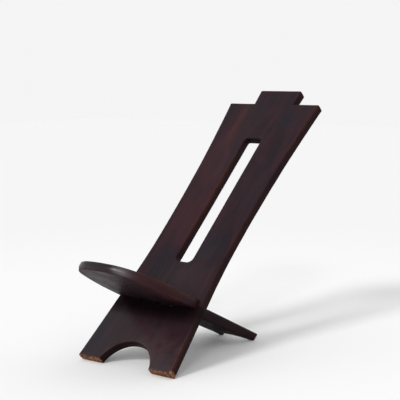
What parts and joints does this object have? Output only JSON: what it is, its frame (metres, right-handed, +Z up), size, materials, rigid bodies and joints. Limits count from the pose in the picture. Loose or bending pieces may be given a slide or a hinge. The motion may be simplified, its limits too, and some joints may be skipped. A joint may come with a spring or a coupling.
{
  "type": "african birthing chair",
  "caption": "Low reclining chair of two interlocked hardwood planks: a tall slotted back plank, and a round-nosed seat plank whose tail passes through it to the floor.",
  "frame": {"origin": "on the floor, under the middle of the chair's footprint", "axes": "+Z up, +Y towards the back of the chair, +X towards the sitter's left"},
  "size_m": [0.326, 0.8136, 0.7118],
  "materials": {
    "back_wood": "satin",
    "seat_wood": "satin"
  },
  "bodies": {
    "back": {"back_plank": "back_wood"},
    "seat": {"seat_plank": "seat_wood"}
  },
  "joints": [
    {"name": "seat_withdrawal", "type": "slide", "parent": "back", "child": "seat", "axis": [0, -0.9033, 0.4289], "range_m": [0, 0.38]}
  ]
}
